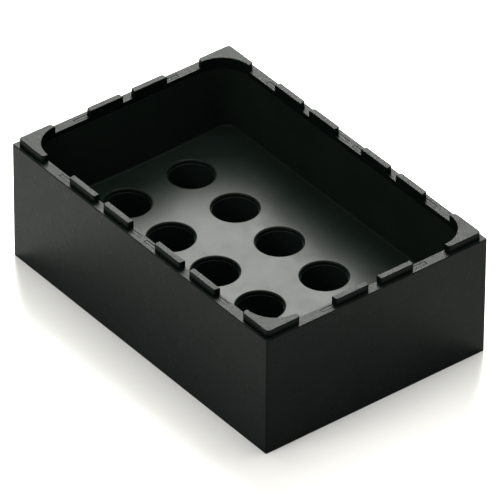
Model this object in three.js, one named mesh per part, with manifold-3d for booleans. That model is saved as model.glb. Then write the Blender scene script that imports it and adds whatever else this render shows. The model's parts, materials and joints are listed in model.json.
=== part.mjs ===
// Stacking box with a castellated rim and ten round wells in its raised floor.
// Millimetres, +Z up, origin at the middle of the base, +X along the long side.
import * as THREE from 'three';
import { mergeVertices } from 'three/addons/utils/BufferGeometryUtils.js';
import Module from 'manifold-3d';

const wasm = await Module();
wasm.setup();

// Driving sizes
const LENGTH = 300;
const WIDTH = 200;
const LEDGE_Z = 100;
const TAB_HEIGHT = 5.5;
const GAP = 0.3;

// Outer shell: one skin all round, turned in at the top to carry the ledge and its tabs
const SKIN = 3.1;
const SHELL_R = 1.2;
const SHELL_INNER_R = 2;
const FLANGE = 4;
const RIM_WALL = 8.4;
const RIM_R = 24;
const STOP_RIB = 2;

// Tabs: one at each corner, and pairs along the sides given by the middle of each pair
const CORNER_TAB = 33;
const CORNER_TAB_R = 3;
const TAB_LENGTH = 30;
const TAB_PITCH = 40.4;
const TAB_END_R = 2;
const TAB_CHAMFER = 0.6;
const LONG_PAIRS = [-50.5, 50.5];
const SHORT_PAIRS = [0];

// Cavity: its walls lean in towards the floor, and the short ones are drawn in at the middle
const FLOOR_Z = 41.5;
const LEAN_OF_LONG_WALLS = 0.7;
const LEAN_OF_SHORT_WALLS = 1.8;
const BOW_OF_SHORT_WALLS = 2.4;
const FLOOR_R = 10;
const FLOOR_FILLET = 1.5;
const LINER_WALL = 2.4;
const LINER_FLOOR = 3;

// Wells
const WELL_COLUMNS = 5;
const WELL_ROWS = 2;
const WELL_PITCH_X = 52.5;
const WELL_PITCH_Y = 59;
const WELL_R = 17.6;
const WELL_EDGE_R = 1.6;
const CUP_WALL = 1.6;
const CUP_STEP = 0.5;
const CUP_FLANGE_R = 22;
const CUP_FLANGE = 2;
const CUP_BOTTOM_R = 3;

// Base plate: a plug that drops inside the tabs of the box below, and a flange above the tabs
const BASE_SKIN = 2.5;
const BASE_FLANGE_Z = 6.8;
const PLUG_INSET = 10.4;
const PLUG_CHAMFER = 1;

// Clips: a head let into the ledge, a stem behind the liner and a barb in the liner's wall
const CLIP_WINDOW_LENGTH = 12.4;
const CLIP_WINDOW_Y = [3.5, 6.7];
const CLIP_HEAD = 1.4;
const CLIP_SUNK = 0.15;
const CLIP_STEM_Y = [3.8, 5.5];
const CLIP_STEM_LENGTH = 9;
const CLIP_DROP = 16;
const CLIP_BARB = 3;
const CLIP_BARB_REACH = 1.5;

const CORNER_STEPS = 10;
const BOW_STEPS = 8;
const FILLET_STEPS = 4;
const ROUND_STEPS = 40;
const OVERSHOOT = 1;

const halfLength = LENGTH / 2;
const halfWidth = WIDTH / 2;
const topZ = LEDGE_Z + TAB_HEIGHT;
const flangeZ = LEDGE_Z - FLANGE;

// ---- solids -------------------------------------------------------------------------------

function toSolid(geometry) {
  const bare = geometry.clone();
  bare.deleteAttribute('normal');
  bare.deleteAttribute('uv');
  const merged = mergeVertices(bare, 1e-4);
  return new wasm.Manifold(new wasm.Mesh({
    numProp: 3,
    vertProperties: Float32Array.from(merged.attributes.position.array),
    triVerts: Uint32Array.from(merged.index.array),
  }));
}

function toGeometry(solid) {
  const mesh = solid.getMesh();
  const geometry = new THREE.BufferGeometry();
  geometry.setAttribute('position', new THREE.BufferAttribute(Float32Array.from(mesh.vertProperties), 3));
  geometry.setIndex(new THREE.BufferAttribute(Uint32Array.from(mesh.triVerts), 1));
  geometry.computeVertexNormals();
  return geometry;
}

function join(solids) {
  return solids.reduce((whole, solid) => whole.add(solid));
}

// Points along a short side, drawn in by `bow` at its middle
function bowedSide(signX, signY, halfX, reach, bow) {
  const points = [];
  for (let step = 1; step < BOW_STEPS; step += 1) {
    const along = 1 - 2 * step / BOW_STEPS;
    const x = signX * (halfX - bow * (1 - along ** 2));
    points.push([x, signY * reach * along]);
  }
  return points;
}

// Rectangle with rounded corners and, if `bow` is given, bowed short sides, as [x, y] points
function roundedRectangle(halfX, halfY, radius, bow) {
  const corners = [[1, 1], [-1, 1], [-1, -1], [1, -1]];
  const points = [];
  corners.forEach(([signX, signY], quarter) => {
    for (let step = 0; step <= CORNER_STEPS; step += 1) {
      const angle = (quarter + step / CORNER_STEPS) * Math.PI / 2;
      const x = signX * (halfX - radius) + radius * Math.cos(angle);
      const y = signY * (halfY - radius) + radius * Math.sin(angle);
      points.push([x, y]);
    }
    if (bow !== undefined && signX !== signY) {
      points.push(...bowedSide(signX, signY, halfX, halfY - radius, bow));
    }
  });
  return points;
}

// Closed solid through rounded rectangles listed from the bottom up as [z, halfX, halfY, radius, bow]
function loft(levels) {
  const rings = levels.map(([z, halfX, halfY, radius, bow]) => (
    roundedRectangle(halfX, halfY, radius, bow).map(([x, y]) => [x, y, z])
  ));
  const count = rings[0].length;
  const positions = rings.flat(2);
  positions.push(0, 0, levels[0][0]);
  positions.push(0, 0, levels[levels.length - 1][0]);
  const bottomCentre = rings.length * count;
  const topCentre = bottomCentre + 1;
  const lastRing = (rings.length - 1) * count;
  const index = [];
  for (let i = 0; i < count; i += 1) {
    const next = (i + 1) % count;
    index.push(bottomCentre, next, i);
    index.push(topCentre, lastRing + i, lastRing + next);
    for (let ring = 0; ring < rings.length - 1; ring += 1) {
      const low = ring * count;
      const high = low + count;
      index.push(low + i, low + next, high + next);
      index.push(low + i, high + next, high + i);
    }
  }
  const geometry = new THREE.BufferGeometry();
  geometry.setAttribute('position', new THREE.Float32BufferAttribute(positions, 3));
  geometry.setIndex(index);
  return toSolid(geometry);
}

// One level of a loft: the box's plan moved in by `inset`
function level(z, inset, radius) {
  return [z, halfLength - inset, halfWidth - inset, radius];
}

function prism(inset, radius, z0, z1) {
  return loft([level(z0, inset, radius), level(z1, inset, radius)]);
}

function boxGeometry([x0, x1], [y0, y1], [z0, z1]) {
  const geometry = new THREE.BoxGeometry(x1 - x0, y1 - y0, z1 - z0);
  geometry.translate((x0 + x1) / 2, (y0 + y1) / 2, (z0 + z1) / 2);
  return geometry;
}

// Solid of revolution from [r, z] points
function turned(profile) {
  const geometry = new THREE.LatheGeometry(profile.map(([r, z]) => new THREE.Vector2(r, z)), ROUND_STEPS);
  geometry.rotateX(Math.PI / 2);
  return toSolid(geometry);
}

// Part of a circle from angle `from` to `to` in degrees, as [r, z] points
function arc(centreR, centreZ, radius, from, to) {
  const points = [];
  for (let step = 0; step <= FILLET_STEPS; step += 1) {
    const angle = THREE.MathUtils.degToRad(from + (to - from) * step / FILLET_STEPS);
    points.push([centreR + radius * Math.cos(angle), centreZ + radius * Math.sin(angle)]);
  }
  return points;
}

function spread(middle, length) {
  return [middle - length / 2, middle + length / 2];
}

// ---- the four sides ------------------------------------------------------------------------
// A side's own axes: x along it, y inwards from its outer face, z up.

const SIDES = [
  { name: 'front', turn: 0, origin: [0, -halfWidth, 0], pairs: LONG_PAIRS },
  { name: 'right', turn: 90, origin: [halfLength, 0, 0], pairs: SHORT_PAIRS },
  { name: 'back', turn: 180, origin: [0, halfWidth, 0], pairs: LONG_PAIRS },
  { name: 'left', turn: 270, origin: [-halfLength, 0, 0], pairs: SHORT_PAIRS },
];

// Middle of each tab along a side, with the way its open end faces
function tabPlaces(side) {
  return side.pairs.flatMap((middle) => [
    { x: middle - TAB_PITCH / 2, open: -1 },
    { x: middle + TAB_PITCH / 2, open: 1 },
  ]);
}

// Middle of each clip along a side: one clip against the open end of every tab
function clipPlaces(side) {
  const reach = (TAB_LENGTH + CLIP_WINDOW_LENGTH) / 2;
  return tabPlaces(side).map(({ x, open }) => x + open * reach);
}

function onSide(side, x, solid) {
  return solid.translate(x, 0, 0).rotate(0, 0, side.turn).translate(...side.origin);
}

function atEveryClip(solid) {
  return join(SIDES.flatMap((side) => clipPlaces(side).map((x) => onSide(side, x, solid))));
}

// ---- outer shell ---------------------------------------------------------------------------

// Block with rounded upright edges and a chamfered top, standing on the ledge
function tabBlock(lengthX, lengthY, radius) {
  const halfX = lengthX / 2;
  const halfY = lengthY / 2;
  return loft([
    [LEDGE_Z - OVERSHOOT, halfX, halfY, radius],
    [topZ - TAB_CHAMFER, halfX, halfY, radius],
    [topZ, halfX - TAB_CHAMFER, halfY - TAB_CHAMFER, radius - TAB_CHAMFER],
  ]);
}

// All tabs, reaching past the rim's inner edge: the mouth's cut trims them flush with it
function tabs() {
  const depth = 2 * (RIM_WALL - SKIN);
  const tab = tabBlock(TAB_LENGTH, depth, TAB_END_R).translate(0, SKIN + depth / 2, 0);
  const blocks = SIDES.flatMap((side) => tabPlaces(side).map(({ x }) => onSide(side, x, tab)));
  const cornerSize = CORNER_TAB - SKIN;
  const corner = tabBlock(cornerSize, cornerSize, CORNER_TAB_R);
  const cornerX = halfLength - SKIN - cornerSize / 2;
  const cornerY = halfWidth - SKIN - cornerSize / 2;
  [-1, 1].forEach((signX) => {
    [-1, 1].forEach((signY) => blocks.push(corner.translate(signX * cornerX, signY * cornerY, 0)));
  });
  return join(blocks);
}

// The mouth of the cavity inside the rim and between the tabs
function mouth() {
  const spreadOut = TAB_CHAMFER + OVERSHOOT;
  return loft([
    level(flangeZ - OVERSHOOT, RIM_WALL, RIM_R),
    level(topZ - TAB_CHAMFER, RIM_WALL, RIM_R),
    level(topZ + OVERSHOOT, RIM_WALL - spreadOut, RIM_R + spreadOut),
  ]);
}

// A stepped window in the ledge: the clip's head sits on the step
function clipWindow() {
  const headZ = [LEDGE_Z - CLIP_SUNK - CLIP_HEAD - GAP, LEDGE_Z + OVERSHOOT];
  const stemZ = [flangeZ - OVERSHOOT, LEDGE_Z - CLIP_HEAD];
  const head = boxGeometry(spread(0, CLIP_WINDOW_LENGTH), CLIP_WINDOW_Y, headZ);
  const stem = boxGeometry(spread(0, CLIP_STEM_LENGTH + 2 * GAP), CLIP_WINDOW_Y, stemZ);
  return toSolid(head).add(toSolid(stem));
}

// The rib is what the base plate's flange stops against
function outerShell() {
  const ribZ = BASE_FLANGE_Z + BASE_SKIN + GAP;
  const body = prism(0, SHELL_R, 0, LEDGE_Z);
  const hollow = join([
    prism(SKIN, SHELL_INNER_R, -OVERSHOOT, ribZ),
    prism(SKIN + STOP_RIB, SHELL_INNER_R, -OVERSHOOT, LEDGE_Z / 2),
    prism(SKIN, SHELL_INNER_R, ribZ + STOP_RIB, flangeZ),
  ]);
  return body.add(tabs()).subtract(hollow).subtract(mouth()).subtract(atEveryClip(clipWindow()));
}

// ---- inner liner ---------------------------------------------------------------------------

function wellPlaces() {
  const places = [];
  for (let row = 0; row < WELL_ROWS; row += 1) {
    for (let column = 0; column < WELL_COLUMNS; column += 1) {
      const x = (column - (WELL_COLUMNS - 1) / 2) * WELL_PITCH_X;
      const y = (row - (WELL_ROWS - 1) / 2) * WELL_PITCH_Y;
      places.push({ name: `well_cup_${row + 1}_${column + 1}`, x, y });
    }
  }
  return places;
}

// One level of the cavity at height z, moved out by `offset`
function cavityLevel(z, offset) {
  const depth = (LEDGE_Z - z) / (LEDGE_Z - FLOOR_Z);
  const halfX = halfLength - RIM_WALL - LEAN_OF_SHORT_WALLS * depth + offset;
  const halfY = halfWidth - RIM_WALL - LEAN_OF_LONG_WALLS * depth + offset;
  return [z, halfX, halfY, RIM_R + (FLOOR_R - RIM_R) * depth + offset, BOW_OF_SHORT_WALLS * depth];
}

// The cavity from its rounded floor edge up to height `top`, moved out by `offset`
function cavity(bottom, top, offset, fillet) {
  const levels = [];
  for (let step = 0; step <= FILLET_STEPS; step += 1) {
    const angle = step / FILLET_STEPS * Math.PI / 2;
    const z = bottom + fillet * (1 - Math.cos(angle));
    levels.push(cavityLevel(z, offset - fillet * (1 - Math.sin(angle))));
  }
  levels.push(cavityLevel(top, offset));
  return loft(levels);
}

function wellCut() {
  const rim = WELL_R + WELL_EDGE_R;
  return turned([
    [0, FLOOR_Z - LINER_FLOOR - OVERSHOOT],
    [WELL_R, FLOOR_Z - LINER_FLOOR - OVERSHOOT],
    ...arc(rim, FLOOR_Z - WELL_EDGE_R, WELL_EDGE_R, 180, 90),
    [rim, FLOOR_Z + OVERSHOOT],
    [0, FLOOR_Z + OVERSHOOT],
  ]);
}

function barbPocket() {
  const bottom = LEDGE_Z - CLIP_DROP - GAP;
  const z = [bottom, bottom + CLIP_BARB + 2 * GAP];
  const y = [0, CLIP_STEM_Y[1] + CLIP_BARB_REACH + GAP];
  return toSolid(boxGeometry(spread(0, CLIP_STEM_LENGTH + 2 * GAP), y, z));
}

function innerLiner() {
  const outside = cavity(FLOOR_Z - LINER_FLOOR, flangeZ - GAP, LINER_WALL, FLOOR_FILLET + LINER_WALL);
  const inside = cavity(FLOOR_Z, LEDGE_Z, 0, FLOOR_FILLET);
  const cut = wellCut();
  const wells = join(wellPlaces().map(({ x, y }) => cut.translate(x, y, 0)));
  return outside.subtract(inside).subtract(wells).subtract(atEveryClip(barbPocket()));
}

// ---- base plate ----------------------------------------------------------------------------

function basePlate() {
  const flangeTop = BASE_FLANGE_Z + BASE_SKIN;
  const plugR = RIM_R + RIM_WALL - PLUG_INSET;
  const hollowInset = PLUG_INSET + BASE_SKIN;
  const flange = prism(SKIN + GAP, SHELL_INNER_R, BASE_FLANGE_Z, flangeTop);
  const plug = loft([
    level(0, PLUG_INSET + PLUG_CHAMFER, plugR - PLUG_CHAMFER),
    level(PLUG_CHAMFER, PLUG_INSET, plugR),
    level(flangeTop, PLUG_INSET, plugR),
  ]);
  const hollow = prism(hollowInset, plugR - BASE_SKIN, BASE_SKIN, flangeTop + OVERSHOOT);
  return flange.add(plug).subtract(hollow);
}

// ---- well cup ------------------------------------------------------------------------------

function wellCup() {
  const inner = WELL_R - CUP_STEP;
  const outer = inner + CUP_WALL;
  const top = FLOOR_Z - LINER_FLOOR - GAP;
  const bottom = BASE_SKIN + GAP;
  const centreR = inner - CUP_BOTTOM_R;
  const centreZ = bottom + CUP_WALL + CUP_BOTTOM_R;
  return turned([
    [0, bottom],
    ...arc(centreR, centreZ, CUP_BOTTOM_R + CUP_WALL, -90, 0),
    [outer, top - CUP_FLANGE],
    [CUP_FLANGE_R, top - CUP_FLANGE],
    [CUP_FLANGE_R, top],
    [inner, top],
    ...arc(centreR, centreZ, CUP_BOTTOM_R, 0, -90),
    [0, bottom + CUP_WALL],
  ]);
}

// ---- rim clip ------------------------------------------------------------------------------

// In a side's own axes, with its middle at x = 0
function rimClip() {
  const bottom = LEDGE_Z - CLIP_DROP;
  const headTop = LEDGE_Z - CLIP_SUNK;
  const headBottom = headTop - CLIP_HEAD;
  const headY = [CLIP_WINDOW_Y[0] + GAP, CLIP_WINDOW_Y[1] - GAP];
  const barbY = [CLIP_STEM_Y[0], CLIP_STEM_Y[1] + CLIP_BARB_REACH];
  const stemX = spread(0, CLIP_STEM_LENGTH);
  return join([
    toSolid(boxGeometry(spread(0, CLIP_WINDOW_LENGTH - 2 * GAP), headY, [headBottom, headTop])),
    toSolid(boxGeometry(stemX, CLIP_STEM_Y, [bottom, headBottom + CLIP_HEAD / 2])),
    toSolid(boxGeometry(stemX, barbY, [bottom, bottom + CLIP_BARB])),
  ]);
}

// ---- the scene -----------------------------------------------------------------------------

function plastic(color, roughness) {
  return new THREE.MeshStandardMaterial({ color, roughness, metalness: 0 });
}

function piece(name, geometry, material) {
  const mesh = new THREE.Mesh(geometry, material);
  mesh.name = name;
  return mesh;
}

const box = new THREE.Group();
box.add(piece('outer_shell', toGeometry(outerShell()), plastic(0x2c302e, 0.5)));
box.add(piece('inner_liner', toGeometry(innerLiner()), plastic(0x1c201e, 0.3)));
box.add(piece('base_plate', toGeometry(basePlate()), plastic(0x242826, 0.5)));

const cupGeometry = toGeometry(wellCup());
wellPlaces().forEach(({ name, x, y }) => {
  const cup = piece(name, cupGeometry, plastic(0x121514, 0.35));
  cup.position.set(x, y, 0);
  box.add(cup);
});

const clipGeometry = toGeometry(rimClip());
SIDES.forEach((side) => {
  const sideGroup = new THREE.Group();
  sideGroup.position.set(...side.origin);
  sideGroup.rotation.z = THREE.MathUtils.degToRad(side.turn);
  clipPlaces(side).forEach((x, i) => {
    const clip = piece(`rim_clip_${side.name}_${i + 1}`, clipGeometry, plastic(0x2c302e, 0.5));
    clip.position.x = x;
    sideGroup.add(clip);
  });
  box.add(sideGroup);
});

export default box;
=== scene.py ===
import json
import math

import bmesh
import bpy
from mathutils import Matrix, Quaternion, Vector


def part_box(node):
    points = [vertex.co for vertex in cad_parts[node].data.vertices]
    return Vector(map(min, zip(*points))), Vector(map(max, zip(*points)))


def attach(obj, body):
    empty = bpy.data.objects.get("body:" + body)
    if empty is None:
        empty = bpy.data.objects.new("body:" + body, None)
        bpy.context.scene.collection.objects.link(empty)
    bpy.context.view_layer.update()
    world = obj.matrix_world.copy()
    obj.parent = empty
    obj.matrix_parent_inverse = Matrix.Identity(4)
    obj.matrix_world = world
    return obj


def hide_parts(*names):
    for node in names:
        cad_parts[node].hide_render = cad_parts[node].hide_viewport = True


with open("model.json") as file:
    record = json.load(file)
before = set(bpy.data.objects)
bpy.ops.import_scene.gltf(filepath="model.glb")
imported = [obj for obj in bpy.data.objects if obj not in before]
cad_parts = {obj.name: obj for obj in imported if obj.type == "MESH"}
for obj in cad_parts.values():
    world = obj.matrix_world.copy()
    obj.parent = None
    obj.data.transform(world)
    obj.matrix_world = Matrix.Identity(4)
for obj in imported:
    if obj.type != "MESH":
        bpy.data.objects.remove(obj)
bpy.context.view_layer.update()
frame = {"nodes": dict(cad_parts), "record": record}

# A stacking box with a castellated rim and ten wells in its raised floor. Metres, +Z up.
MM = 0.001

# ---- sizes ------------------------------------------------------------------------------------

# Heights of the flat faces come from the mounts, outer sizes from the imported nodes
mounts = {mount["name"]: Vector(mount["pos_m"]) for mount in frame["record"]["mounts"]}
LEDGE_Z = mounts["stacking_ledge"].z
FLOOR_Z = mounts["cavity_floor"].z
SHELL_LOW, SHELL_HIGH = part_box("outer_shell")
LINER_LOW, LINER_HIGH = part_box("inner_liner")
PLATE_LOW, PLATE_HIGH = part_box("base_plate")
HALF_X = SHELL_HIGH.x
HALF_Y = SHELL_HIGH.y
TOP_Z = SHELL_HIGH.z

# Shell
SKIN = 3.1 * MM
SHELL_R = 1.2 * MM
SHELL_INNER_R = 2 * MM
SHELL_TOP_EDGE_R = 0.7 * MM
SHELL_FOOT_EDGE_R = 0.4 * MM
CUT_EDGE_R = 0.15 * MM
FLANGE = 4 * MM
RIM_WALL = 8.4 * MM
RIM_R = 24 * MM
STOP_RIB = 2 * MM

# Tabs
CORNER_TAB = 33 * MM
CORNER_TAB_R = 3 * MM
TAB_LENGTH = 30 * MM
TAB_PITCH = 40.4 * MM
TAB_END_R = 2 * MM
TAB_EDGE_R = 0.7 * MM
LONG_PAIRS = (-50.5 * MM, 50.5 * MM)
SHORT_PAIRS = (0.0,)

# Cavity and wells
LEAN_OF_LONG_WALLS = 0.7 * MM
LEAN_OF_SHORT_WALLS = 1.8 * MM
BOW_OF_SHORT_WALLS = 2.4 * MM
FLOOR_R = 10 * MM
FLOOR_FILLET = 1.5 * MM
LINER_WALL = 2.4 * MM
WELL_R = 17.6 * MM
WELL_EDGE_R = 1.6 * MM
CUP_WALL = 1.6 * MM
CUP_STEP = 0.5 * MM
CUP_FLANGE = 2 * MM
CUP_BOTTOM_R = 3 * MM
CUP_EDGE_R = 0.4 * MM

# Base plate
BASE_SKIN = 2.5 * MM
PLUG_INSET = 10.4 * MM
PLUG_R = RIM_R + RIM_WALL - PLUG_INSET
PLATE_EDGE_R = 0.6 * MM

# Clips
CLIP_WINDOW_LENGTH = 12.4 * MM
CLIP_WINDOW_Y = (3.5 * MM, 6.7 * MM)
CLIP_HEAD = 1.4 * MM
CLIP_SUNK = 0.15 * MM
CLIP_HEAD_GAP = 0.45 * MM
CLIP_STEM_Y = (3.8 * MM, 5.5 * MM)
CLIP_STEM_LENGTH = 9 * MM
CLIP_BARB = 3 * MM
CLIP_BARB_REACH = 1.5 * MM

GAP = 0.3 * MM
OVERSHOOT = 1 * MM

# How finely round things are cut up
CORNER_STEPS = 24
BOW_STEPS = 16
FILLET_STEPS = 6
ROUND_STEPS = 96
CUT_EDGE_STEPS = 2
PLATE_EDGE_STEPS = 3

# Limits for cleaning a mesh before its edges are rounded, and for what counts as a sharp edge
SAME_POINT = 0.002 * MM
SAME_PLANE_ANGLE = math.radians(0.05)
ROUNDED_EDGE_ANGLE = math.radians(35)
SHARP_SHADING_ANGLE = math.radians(50)

# ---- looks ------------------------------------------------------------------------------------

MOTTLE_SIZE = 30 * MM
GLOSS_PATCH_SIZE = 12 * MM

# By material slot: darkest and lightest colour, roughness from and to, gloss, and the grain in relief
PLASTICS = {
    "shell_plastic": {
        "dark": (0.0014, 0.0032, 0.0025),
        "light": (0.0022, 0.0042, 0.0034),
        "roughness": (0.26, 0.31),
        "specular": 0.031,
        "grain_size": 0.7 * MM,
        "grain_depth": 0.25 * MM,
    },
    "liner_plastic": {
        "dark": (0.0046, 0.0074, 0.006),
        "light": (0.006, 0.009, 0.0074),
        "roughness": (0.28, 0.34),
        "specular": 0.037,
        "grain_size": 2 * MM,
        "grain_depth": 0.03 * MM,
    },
    # Cups: the liner's dark green plastic, made lighter than the liner as painted light, so the shaded
    # insides of the wells look brighter
    "cup_plastic": {
        "dark": (0.006, 0.0095, 0.0082),
        "light": (0.0075, 0.011, 0.0096),
        "roughness": (0.26, 0.34),
        "specular": 0.05,
        "grain_size": 2 * MM,
        "grain_depth": 0.03 * MM,
    },
    "base_plastic": {
        "dark": (0.0014, 0.0032, 0.0025),
        "light": (0.0022, 0.0042, 0.0034),
        "roughness": (0.32, 0.4),
        "specular": 0.031,
        "grain_size": 0.8 * MM,
        "grain_depth": 0.2 * MM,
    },
    "clip_plastic": {
        "dark": (0.0016, 0.0034, 0.0027),
        "light": (0.0024, 0.0044, 0.0036),
        "roughness": (0.26, 0.31),
        "specular": 0.031,
        "grain_size": 0.7 * MM,
        "grain_depth": 0.25 * MM,
    },
}

# ---- stage ------------------------------------------------------------------------------------

# Angles in degrees, the lens in millimetres
CAMERA_LENS = 568.33
CAMERA_AZIMUTH = 51.895
CAMERA_ELEVATION = 36.547
CAMERA_ROLL = 0.33
CAMERA_DISTANCE = 5.709
CAMERA_TARGET = Vector((2.2, 0.5, 48.1)) * MM

FLOOR_HALF = 6
FLOOR_COLOUR = (0.72, 0.72, 0.71, 1)
FLOOR_ROUGHNESS = 0.9
FLOOR_SPECULAR = 0.1

WORLD_COLOUR = (1, 1, 0.98, 1)
WORLD_STRENGTH = 0.42

SOFTBOX_COLOUR = (1, 0.99, 0.955)
SOFTBOX_DISTANCE = 2.0
SOFTBOXES = (
    {"name": "back_softbox", "towards": (-0.56, 0.44, 0.7), "size": (0.8, 1.2), "power": 150},
    {"name": "top_softbox", "towards": (0, 0.12, 1), "size": (1.2, 1.2), "power": 36},
    {"name": "front_softbox", "towards": (0.02, -0.85, 0.55), "size": (1.2, 1.2), "power": 22},
)

# ---- meshes -----------------------------------------------------------------------------------


def new_object(name, bm):
    mesh = bpy.data.meshes.new(name)
    bm.normal_update()
    bm.to_mesh(mesh)
    bm.free()
    obj = bpy.data.objects.new(name, mesh)
    bpy.context.scene.collection.objects.link(obj)
    return obj


def bowed_side(sign_x, sign_y, half_x, reach, bow):
    """Points along a short side, drawn in by bow at its middle."""
    points = []
    for step in range(1, BOW_STEPS):
        along = 1 - 2 * step / BOW_STEPS
        x = sign_x * (half_x - bow * (1 - along ** 2))
        points.append((x, sign_y * reach * along))
    return points


def rounded_rectangle(half_x, half_y, radius, bow=None):
    """Points of a rectangle with rounded corners and, if bow is given, bowed short sides."""
    points = []
    for quarter, (sign_x, sign_y) in enumerate(((1, 1), (-1, 1), (-1, -1), (1, -1))):
        for step in range(CORNER_STEPS + 1):
            angle = (quarter + step / CORNER_STEPS) * math.pi / 2
            x = sign_x * (half_x - radius) + radius * math.cos(angle)
            y = sign_y * (half_y - radius) + radius * math.sin(angle)
            points.append((x, y))
        if bow is not None and sign_x != sign_y:
            points += bowed_side(sign_x, sign_y, half_x, half_y - radius, bow)
    return points


def loft(name, levels, middle=(0, 0)):
    """Closed solid through outlines listed from the bottom up, each z and then rounded_rectangle's sizes."""
    bm = bmesh.new()
    rings = []
    for z, *sizes in levels:
        outline = rounded_rectangle(*sizes)
        rings.append([bm.verts.new((x + middle[0], y + middle[1], z)) for x, y in outline])
    for low, high in zip(rings, rings[1:]):
        for i in range(len(low)):
            j = (i + 1) % len(low)
            bm.faces.new((low[i], low[j], high[j], high[i]))
    bm.faces.new(list(reversed(rings[0])))
    bm.faces.new(rings[-1])
    return new_object(name, bm)


def level(z, inset, radius):
    """One level of a loft: the box's plan moved in by inset."""
    return (z, HALF_X - inset, HALF_Y - inset, radius)


def prism(name, inset, radius, z0, z1):
    """Upright solid of the box's plan moved in by inset."""
    return loft(name, [level(z0, inset, radius), level(z1, inset, radius)])


def block(name, x, y, z):
    """Rectangular block from its lowest and highest x, y and z."""
    bm = bmesh.new()
    corners = [bm.verts.new((x[i], y[j], z[k])) for k in (0, 1) for j in (0, 1) for i in (0, 1)]
    for face in ((0, 2, 3, 1), (4, 5, 7, 6), (0, 1, 5, 4), (1, 3, 7, 5), (3, 2, 6, 7), (2, 0, 4, 6)):
        bm.faces.new([corners[i] for i in face])
    return new_object(name, bm)


def turned(name, profile, middle=(0, 0)):
    """Solid of revolution from (radius, z) points that start and end on the axis."""
    bm = bmesh.new()
    rings = []
    for radius, z in profile:
        if radius == 0:
            rings.append([bm.verts.new((middle[0], middle[1], z))])
            continue
        ring = []
        for step in range(ROUND_STEPS):
            angle = step / ROUND_STEPS * 2 * math.pi
            x = middle[0] + radius * math.cos(angle)
            y = middle[1] + radius * math.sin(angle)
            ring.append(bm.verts.new((x, y, z)))
        rings.append(ring)
    for low, high in zip(rings, rings[1:]):
        for i in range(ROUND_STEPS):
            j = (i + 1) % ROUND_STEPS
            if len(low) == 1:
                bm.faces.new((low[0], high[j], high[i]))
            elif len(high) == 1:
                bm.faces.new((low[i], low[j], high[0]))
            else:
                bm.faces.new((low[i], low[j], high[j], high[i]))
    return new_object(name, bm)


def arc(centre_r, centre_z, radius, start, end, steps=FILLET_STEPS):
    """Points of part of a circle, from angle start to end in degrees."""
    angles = [math.radians(start + (end - start) * i / steps) for i in range(steps + 1)]
    return [(centre_r + radius * math.cos(a), centre_z + radius * math.sin(a)) for a in angles]


def bake_modifiers(obj):
    """Puts the result of the object's modifiers in its mesh."""
    bpy.context.view_layer.update()
    evaluated = obj.evaluated_get(bpy.context.evaluated_depsgraph_get())
    mesh = bpy.data.meshes.new_from_object(evaluated)
    obj.modifiers.clear()
    obj.data = mesh


def combine(obj, others, operation):
    """Joins the other solids to obj, or cuts them out of it."""
    for other in others:
        modifier = obj.modifiers.new(operation, "BOOLEAN")
        modifier.operation = operation
        modifier.solver = "MANIFOLD"
        modifier.object = other
    bake_modifiers(obj)
    for other in others:
        bpy.data.objects.remove(other)
    return obj


def round_edges(obj, width, steps):
    """Rounds the sharp edges of a solid, and smooths its shading."""
    bm = bmesh.new()
    bm.from_mesh(obj.data)
    bmesh.ops.remove_doubles(bm, verts=bm.verts, dist=SAME_POINT)
    bmesh.ops.dissolve_limit(bm, angle_limit=SAME_PLANE_ANGLE, verts=bm.verts, edges=bm.edges)
    edges = [edge for edge in bm.edges if edge.is_manifold]
    bmesh.ops.bevel(
        bm,
        geom=[edge for edge in edges if edge.calc_face_angle() > ROUNDED_EDGE_ANGLE],
        offset=width,
        offset_type="OFFSET",
        segments=steps,
        profile=0.5,
        affect="EDGES",
        clamp_overlap=True,
    )
    bm.to_mesh(obj.data)
    bm.free()
    return smooth(obj)


def smooth(obj):
    """Smooth shading in which the large flat faces stay flat."""
    mesh = obj.data
    mesh.shade_smooth()
    mesh.set_sharp_from_angle(angle=SHARP_SHADING_ANGLE)
    modifier = obj.modifiers.new("normals", "WEIGHTED_NORMAL")
    modifier.keep_sharp = True
    modifier.weight = 100
    bake_modifiers(obj)
    return obj


# ---- the four sides ---------------------------------------------------------------------------
# A side's own axes: x along it, y inwards from its outer face, z up.

SIDES = (
    {"name": "front", "turn": 0, "origin": (0, -HALF_Y), "pairs": LONG_PAIRS},
    {"name": "right", "turn": 90, "origin": (HALF_X, 0), "pairs": SHORT_PAIRS},
    {"name": "back", "turn": 180, "origin": (0, HALF_Y), "pairs": LONG_PAIRS},
    {"name": "left", "turn": 270, "origin": (-HALF_X, 0), "pairs": SHORT_PAIRS},
)


def tab_places(side):
    """Middle of each tab along a side, with the way its open end faces."""
    return [(middle + way * TAB_PITCH / 2, way) for middle in side["pairs"] for way in (-1, 1)]


def clips(side):
    """Name of each clip along a side, with the place of its middle."""
    reach = (TAB_LENGTH + CLIP_WINDOW_LENGTH) / 2
    places = [place + way * reach for place, way in tab_places(side)]
    return [(f"rim_clip_{side['name']}_{i + 1}", place) for i, place in enumerate(places)]


def put_on_side(obj, side, x):
    """Moves a solid made at x = 0 in a side's own axes to its place along that side."""
    turn = Quaternion((0, 0, 1), math.radians(side["turn"])).to_matrix().to_4x4()
    turn.translation = (*side["origin"], 0)
    shift = Quaternion().to_matrix().to_4x4()
    shift.translation = (x, 0, 0)
    obj.data.transform(turn @ shift)
    return obj


# ---- pieces -----------------------------------------------------------------------------------


def tab_block(length_x, length_y, radius, middle):
    """Block with rounded upright and top edges, standing on the ledge."""
    half_x = length_x / 2
    half_y = length_y / 2
    levels = [(LEDGE_Z - OVERSHOOT, half_x, half_y, radius)]
    for r, z in arc(0, TOP_Z - TAB_EDGE_R, TAB_EDGE_R, 0, 90):
        inset = TAB_EDGE_R - r
        levels.append((z, half_x - inset, half_y - inset, radius - inset))
    return loft("tab", levels, middle)


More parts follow.
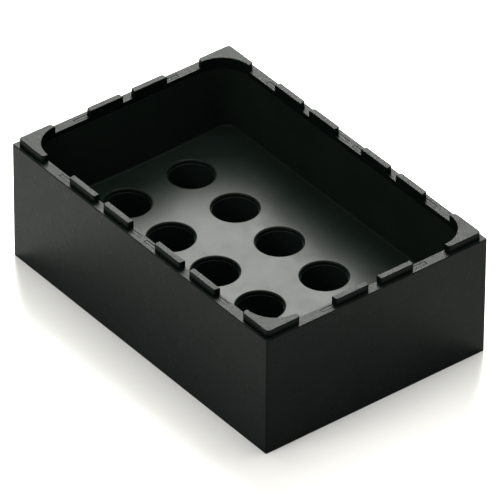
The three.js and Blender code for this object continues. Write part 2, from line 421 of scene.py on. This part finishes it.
def tabs():
    """The twelve tabs along the sides and the four at the corners, before the mouth is cut."""
    depth = 2 * (RIM_WALL - SKIN)
    blocks = []
    for side in SIDES:
        for place, _ in tab_places(side):
            tab = tab_block(TAB_LENGTH, depth, TAB_END_R, (0, SKIN + depth / 2))
            blocks.append(put_on_side(tab, side, place))
    size = CORNER_TAB - SKIN
    for sign_x in (-1, 1):
        for sign_y in (-1, 1):
            middle = (sign_x * (HALF_X - SKIN - size / 2), sign_y * (HALF_Y - SKIN - size / 2))
            blocks.append(tab_block(size, size, CORNER_TAB_R, middle))
    return blocks


def mouth():
    """What is cut out of the rim and the tabs, flaring at the top to round the tabs' inner edges."""
    levels = [level(LEDGE_Z - FLANGE - OVERSHOOT, RIM_WALL, RIM_R)]
    for r, z in arc(0, TOP_Z - TAB_EDGE_R, TAB_EDGE_R, 0, 90):
        out = TAB_EDGE_R - r
        levels.append(level(z, RIM_WALL - out, RIM_R + out))
    out = TAB_EDGE_R + OVERSHOOT
    levels.append(level(TOP_Z + OVERSHOOT, RIM_WALL - out, RIM_R + out))
    return loft("mouth", levels)


def clip_window():
    """What is cut out of the ledge and flange for one clip."""
    half = CLIP_WINDOW_LENGTH / 2
    stem_half = CLIP_STEM_LENGTH / 2 + GAP
    head_z = (LEDGE_Z - CLIP_SUNK - CLIP_HEAD - GAP, LEDGE_Z + OVERSHOOT)
    stem_z = (LEDGE_Z - FLANGE - OVERSHOOT, LEDGE_Z - CLIP_HEAD)
    head = block("window", (-half, half), CLIP_WINDOW_Y, head_z)
    stem = block("window_stem", (-stem_half, stem_half), CLIP_WINDOW_Y, stem_z)
    return combine(head, [stem], "UNION")


def make_outer_shell():
    """Skin with a stop rib for the base plate inside it, turned in at the top to carry the tabs."""
    rib_z = PLATE_HIGH.z + GAP
    foot_arc = arc(0, SHELL_FOOT_EDGE_R, SHELL_FOOT_EDGE_R, -90, 0)
    top_arc = arc(0, -SHELL_TOP_EDGE_R, SHELL_TOP_EDGE_R, 0, 90)
    edge = [(SHELL_FOOT_EDGE_R - r, SHELL_LOW.z + z) for r, z in foot_arc]
    edge += [(SHELL_TOP_EDGE_R - r, LEDGE_Z + z) for r, z in top_arc]
    body = loft("outer_shell_body", [level(z, inset, SHELL_R - inset) for inset, z in edge])
    combine(body, tabs(), "UNION")
    hollows = [
        prism("hollow", SKIN, SHELL_INNER_R, SHELL_LOW.z - OVERSHOOT, rib_z),
        prism("hollow", SKIN + STOP_RIB, SHELL_INNER_R, SHELL_LOW.z - OVERSHOOT, LEDGE_Z / 2),
        prism("hollow", SKIN, SHELL_INNER_R, rib_z + STOP_RIB, LEDGE_Z - FLANGE),
        mouth(),
    ]
    windows = [put_on_side(clip_window(), side, place) for side in SIDES for _, place in clips(side)]
    combine(body, hollows + windows, "DIFFERENCE")
    return round_edges(body, CUT_EDGE_R, CUT_EDGE_STEPS)


def cavity_level(z, offset):
    """One level of the cavity at height z, moved out by offset."""
    depth = (LEDGE_Z - z) / (LEDGE_Z - FLOOR_Z)
    half_x = HALF_X - RIM_WALL - LEAN_OF_SHORT_WALLS * depth + offset
    half_y = HALF_Y - RIM_WALL - LEAN_OF_LONG_WALLS * depth + offset
    radius = RIM_R + (FLOOR_R - RIM_R) * depth + offset
    return (z, half_x, half_y, radius, BOW_OF_SHORT_WALLS * depth)


def cavity(name, bottom, top, offset, fillet):
    """The cavity's shape moved out by offset, with a fillet round its bottom."""
    levels = []
    for r, z in arc(0, bottom + fillet, fillet, -90, 0, 2 * FILLET_STEPS):
        levels.append(cavity_level(z, offset - fillet + r))
    levels.append(cavity_level(top, offset))
    return loft(name, levels)


def make_inner_liner():
    """Walls and floor of the cavity, with a hole for each cup and pockets for the clips' barbs."""
    liner = cavity("inner_liner_tub", LINER_LOW.z, LINER_HIGH.z, LINER_WALL, FLOOR_FILLET + LINER_WALL)
    cuts = [cavity("hollow", FLOOR_Z, LEDGE_Z, 0, FLOOR_FILLET)]
    rim = WELL_R + WELL_EDGE_R
    profile = [(0, LINER_LOW.z - OVERSHOOT), (WELL_R, LINER_LOW.z - OVERSHOOT)]
    profile += arc(rim, FLOOR_Z - WELL_EDGE_R, WELL_EDGE_R, 180, 90)
    profile += [(rim, FLOOR_Z + OVERSHOOT), (0, FLOOR_Z + OVERSHOOT)]
    cuts += [turned("well", profile, cup_middle(name)) for name in cup_names()]
    half = CLIP_STEM_LENGTH / 2 + GAP
    pocket_y = (0, CLIP_STEM_Y[1] + CLIP_BARB_REACH + GAP)
    for side in SIDES:
        for name, place in clips(side):
            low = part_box(name)[0].z
            pocket = block("pocket", (-half, half), pocket_y, (low - GAP, low + CLIP_BARB + GAP))
            cuts.append(put_on_side(pocket, side, place))
    combine(liner, cuts, "DIFFERENCE")
    return smooth(liner)


def make_base_plate():
    """Tray whose plug drops inside the tabs of the box below."""
    hollow_inset = PLUG_INSET + BASE_SKIN
    hollow_r = PLUG_R - BASE_SKIN
    hollow_z = (PLATE_LOW.z + BASE_SKIN, PLATE_HIGH.z + OVERSHOOT)
    tray = prism("base_plate_tray", SKIN + GAP, SHELL_INNER_R, PLATE_HIGH.z - BASE_SKIN, PLATE_HIGH.z)
    plug = prism("plug", PLUG_INSET, PLUG_R, PLATE_LOW.z, PLATE_HIGH.z)
    hollow = prism("hollow", hollow_inset, hollow_r, *hollow_z)
    combine(tray, [plug], "UNION")
    combine(tray, [hollow], "DIFFERENCE")
    return round_edges(tray, PLATE_EDGE_R, PLATE_EDGE_STEPS)


def cup_names():
    return sorted(name for name in frame["nodes"] if name.startswith("well_cup_"))


def cup_middle(name):
    low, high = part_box(name)
    return ((low.x + high.x) / 2, (low.y + high.y) / 2)


def make_well_cup(name):
    """Round cup with a flange under the liner's floor and a rounded bottom corner."""
    low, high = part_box(name)
    inner = WELL_R - CUP_STEP
    outer = inner + CUP_WALL
    flange_r = (high.x - low.x) / 2
    centre_r = inner - CUP_BOTTOM_R
    centre_z = low.z + CUP_WALL + CUP_BOTTOM_R
    profile = [(0, low.z)]
    profile += arc(centre_r, centre_z, CUP_BOTTOM_R + CUP_WALL, -90, 0)
    profile += [(outer, high.z - CUP_FLANGE), (flange_r, high.z - CUP_FLANGE), (flange_r, high.z)]
    profile += arc(inner + CUP_EDGE_R, high.z - CUP_EDGE_R, CUP_EDGE_R, 90, 180)
    profile += arc(centre_r, centre_z, CUP_BOTTOM_R, 0, -90)
    profile += [(0, low.z + CUP_WALL)]
    return smooth(turned(f"{name}_shell", profile, cup_middle(name)))


def make_rim_clip(name, side, place):
    """Clip with its head in the ledge, a stem through the flange and a barb in the liner's pocket."""
    low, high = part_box(name)
    half = CLIP_WINDOW_LENGTH / 2 - CLIP_HEAD_GAP
    stem_half = CLIP_STEM_LENGTH / 2
    head_y = (CLIP_WINDOW_Y[0] + CLIP_HEAD_GAP, CLIP_WINDOW_Y[1] - CLIP_HEAD_GAP)
    barb_y = (CLIP_STEM_Y[0], CLIP_STEM_Y[1] + CLIP_BARB_REACH)
    clip = block(f"{name}_body", (-half, half), head_y, (high.z - CLIP_HEAD, high.z))
    stem = block("stem", (-stem_half, stem_half), CLIP_STEM_Y, (low.z, high.z - CLIP_HEAD / 2))
    barb = block("barb", (-stem_half, stem_half), barb_y, (low.z, low.z + CLIP_BARB))
    combine(clip, [stem, barb], "UNION")
    put_on_side(clip, side, place)
    return round_edges(clip, CUT_EDGE_R, CUT_EDGE_STEPS)


# ---- materials --------------------------------------------------------------------------------


def moulded_plastic(name, dark, light, roughness, specular, grain_size, grain_depth):
    """Black moulded plastic: faint mottling, a fine grain in relief, and uneven gloss."""
    material = bpy.data.materials.new(name)
    material.use_nodes = True
    nodes = material.node_tree.nodes
    links = material.node_tree.links
    shader = nodes["Principled BSDF"]
    shader.inputs["Specular IOR Level"].default_value = specular
    place = nodes.new("ShaderNodeTexCoord")

    def noise(size, detail):
        node = nodes.new("ShaderNodeTexNoise")
        node.inputs["Scale"].default_value = 1 / size
        node.inputs["Detail"].default_value = detail
        links.new(place.outputs["Object"], node.inputs["Vector"])
        return node.outputs["Fac"]

    def spread(value, low, high):
        node = nodes.new("ShaderNodeMapRange")
        node.inputs["From Min"].default_value = 0.3
        node.inputs["From Max"].default_value = 0.7
        node.inputs["To Min"].default_value = low
        node.inputs["To Max"].default_value = high
        links.new(value, node.inputs["Value"])
        return node.outputs["Result"]

    tint = nodes.new("ShaderNodeMix")
    tint.data_type = "RGBA"
    tint.inputs["A"].default_value = (*dark, 1)
    tint.inputs["B"].default_value = (*light, 1)
    links.new(spread(noise(MOTTLE_SIZE, 4), 0, 1), tint.inputs["Factor"])
    links.new(tint.outputs["Result"], shader.inputs["Base Color"])
    links.new(spread(noise(GLOSS_PATCH_SIZE, 5), *roughness), shader.inputs["Roughness"])
    bump = nodes.new("ShaderNodeBump")
    bump.inputs["Distance"].default_value = grain_depth
    links.new(noise(grain_size, 3), bump.inputs["Height"])
    links.new(bump.outputs["Normal"], shader.inputs["Normal"])
    return material


def finish_piece(obj, slot, node):
    """Gives a piece its plastic, and lets it stand for a CAD node."""
    obj.data.materials.clear()
    obj.data.materials.append(plastics[slot])
    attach(obj, "root")
    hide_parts(node)


# ---- camera, floor and light ------------------------------------------------------------------


def add_camera():
    data = bpy.data.cameras.new("camera")
    data.lens = CAMERA_LENS
    camera = bpy.data.objects.new("camera", data)
    bpy.context.scene.collection.objects.link(camera)
    azimuth = math.radians(CAMERA_AZIMUTH)
    elevation = math.radians(CAMERA_ELEVATION)
    roll = math.radians(CAMERA_ROLL)
    away = Vector((
        math.sin(azimuth) * math.cos(elevation),
        -math.cos(azimuth) * math.cos(elevation),
        math.sin(elevation),
    ))
    camera.location = CAMERA_TARGET + CAMERA_DISTANCE * away
    camera.rotation_mode = "QUATERNION"
    camera.rotation_quaternion = (-away).to_track_quat("-Z", "Y") @ Quaternion((0, 0, 1), roll)
    bpy.context.scene.camera = camera


def add_floor():
    bm = bmesh.new()
    corners = ((-1, -1), (1, -1), (1, 1), (-1, 1))
    bm.faces.new([bm.verts.new((x * FLOOR_HALF, y * FLOOR_HALF, 0)) for x, y in corners])
    floor = new_object("floor", bm)
    material = bpy.data.materials.new("pale_floor")
    material.use_nodes = True
    shader = material.node_tree.nodes["Principled BSDF"]
    shader.inputs["Base Color"].default_value = FLOOR_COLOUR
    shader.inputs["Roughness"].default_value = FLOOR_ROUGHNESS
    shader.inputs["Specular IOR Level"].default_value = FLOOR_SPECULAR
    floor.data.materials.append(material)


def add_softbox(name, towards, size, power):
    """Area light of a width and height, in a direction from the box and facing it."""
    data = bpy.data.lights.new(name, "AREA")
    data.shape = "RECTANGLE"
    data.size, data.size_y = size
    data.energy = power
    data.color = SOFTBOX_COLOUR
    light = bpy.data.objects.new(name, data)
    bpy.context.scene.collection.objects.link(light)
    direction = Vector(towards).normalized()
    light.location = direction * SOFTBOX_DISTANCE
    light.rotation_mode = "QUATERNION"
    light.rotation_quaternion = (-direction).to_track_quat("-Z", "Y")


def add_world():
    world = bpy.data.worlds.new("studio")
    world.use_nodes = True
    background = world.node_tree.nodes["Background"]
    background.inputs["Color"].default_value = WORLD_COLOUR
    background.inputs["Strength"].default_value = WORLD_STRENGTH
    bpy.context.scene.world = world


# ---- the scene --------------------------------------------------------------------------------

add_camera()
add_floor()
add_world()
for softbox in SOFTBOXES:
    add_softbox(**softbox)
bpy.context.scene.view_settings.view_transform = "Standard"

plastics = {slot: moulded_plastic(slot, **look) for slot, look in PLASTICS.items()}

finish_piece(make_outer_shell(), "shell_plastic", "outer_shell")
finish_piece(make_inner_liner(), "liner_plastic", "inner_liner")
finish_piece(make_base_plate(), "base_plastic", "base_plate")
for cup_name in cup_names():
    finish_piece(make_well_cup(cup_name), "cup_plastic", cup_name)
for side in SIDES:
    for clip_name, place in clips(side):
        finish_piece(make_rim_clip(clip_name, side, place), "clip_plastic", clip_name)
